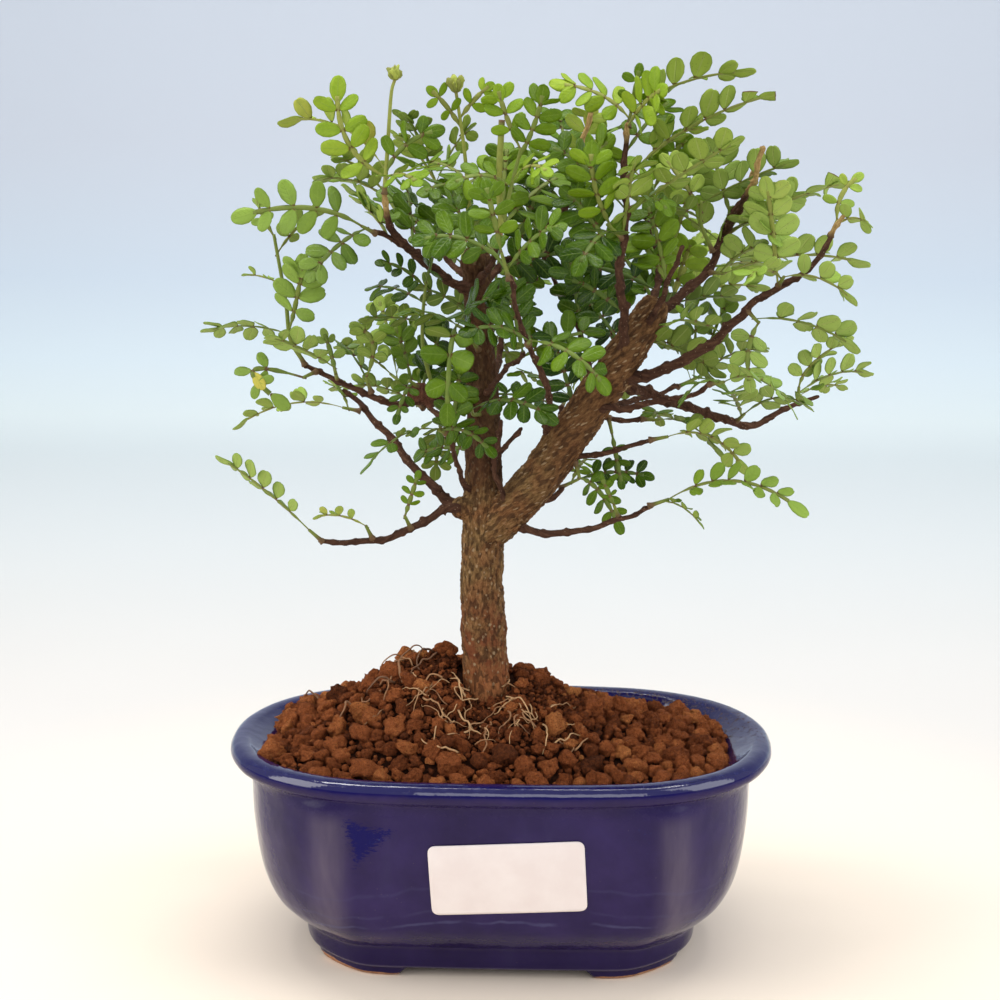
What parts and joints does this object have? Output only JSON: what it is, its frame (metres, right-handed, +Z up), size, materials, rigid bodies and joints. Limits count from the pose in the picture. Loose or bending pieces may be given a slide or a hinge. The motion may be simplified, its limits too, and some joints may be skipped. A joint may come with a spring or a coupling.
{
  "type": "bonsai tree in pot",
  "caption": "Small pepper tree bonsai with feathery leaves on a forked trunk, in an oval glazed pot with granular soil",
  "frame": {"origin": "on the surface that the pot stands on, under the middle of the whole outer box", "axes": "+Z up along the trunk, +X to the right along the pot's long side, -Y towards the viewer and the label"},
  "size_m": [0.1822, 0.1222, 0.2445],
  "materials": {
    "cobalt_glaze": "deep cobalt gloss glaze, unglazed clay under the feet",
    "drain_plastic": "moulded mesh",
    "clay_granules": "porous fired-clay granules, damp reddish brown",
    "bark": "fissured grey-brown bark with pale lenticels",
    "leaf": null,
    "label_paper": "blank coated label"
  },
  "bodies": {
    "root": {"pot": "cobalt_glaze", "drain_mesh_left": "drain_plastic", "drain_mesh_right": "drain_plastic", "soil": "clay_granules", "tree_wood": "bark", "sticker": "label_paper", "leafy_shoot_01": "leaf", "leafy_shoot_02": "leaf", "leafy_shoot_03": "leaf", "leafy_shoot_04": "leaf", "leafy_shoot_05": "leaf", "leafy_shoot_06": "leaf", "leafy_shoot_07": "leaf", "leafy_shoot_08": "leaf", "leafy_shoot_09": "leaf", "leafy_shoot_10": "leaf", "leafy_shoot_11": "leaf", "leafy_shoot_12": "leaf", "leafy_shoot_13": "leaf", "leafy_shoot_14": "leaf", "leafy_shoot_15": "leaf", "leafy_shoot_16": "leaf", "leafy_shoot_17": "leaf", "leafy_shoot_18": "leaf", "leafy_shoot_19": "leaf", "leafy_shoot_20": "leaf", "leafy_shoot_21": "leaf", "leafy_shoot_22": "leaf", "leafy_shoot_23": "leaf", "leafy_shoot_24": "leaf", "leafy_shoot_25": "leaf", "leafy_shoot_26": "leaf", "leafy_shoot_27": "leaf", "leafy_shoot_28": "leaf", "leafy_shoot_29": "leaf", "leafy_shoot_30": "leaf", "leafy_shoot_31": "leaf", "leafy_shoot_32": "leaf", "leafy_shoot_33": "leaf", "leafy_shoot_34": "leaf", "leafy_shoot_35": "leaf", "leafy_shoot_36": "leaf", "leafy_shoot_37": "leaf", "leafy_shoot_38": "leaf", "leafy_shoot_39": "leaf", "leafy_shoot_40": "leaf", "leafy_shoot_41": "leaf", "leafy_shoot_42": "leaf", "leafy_shoot_43": "leaf", "leafy_shoot_44": "leaf", "leafy_shoot_45": "leaf", "leafy_shoot_46": "leaf", "leafy_shoot_47": "leaf", "leafy_shoot_48": "leaf", "leafy_shoot_49": "leaf", "leafy_shoot_50": "leaf", "leafy_shoot_51": "leaf", "leafy_shoot_52": "leaf"}
  },
  "joints": []
}
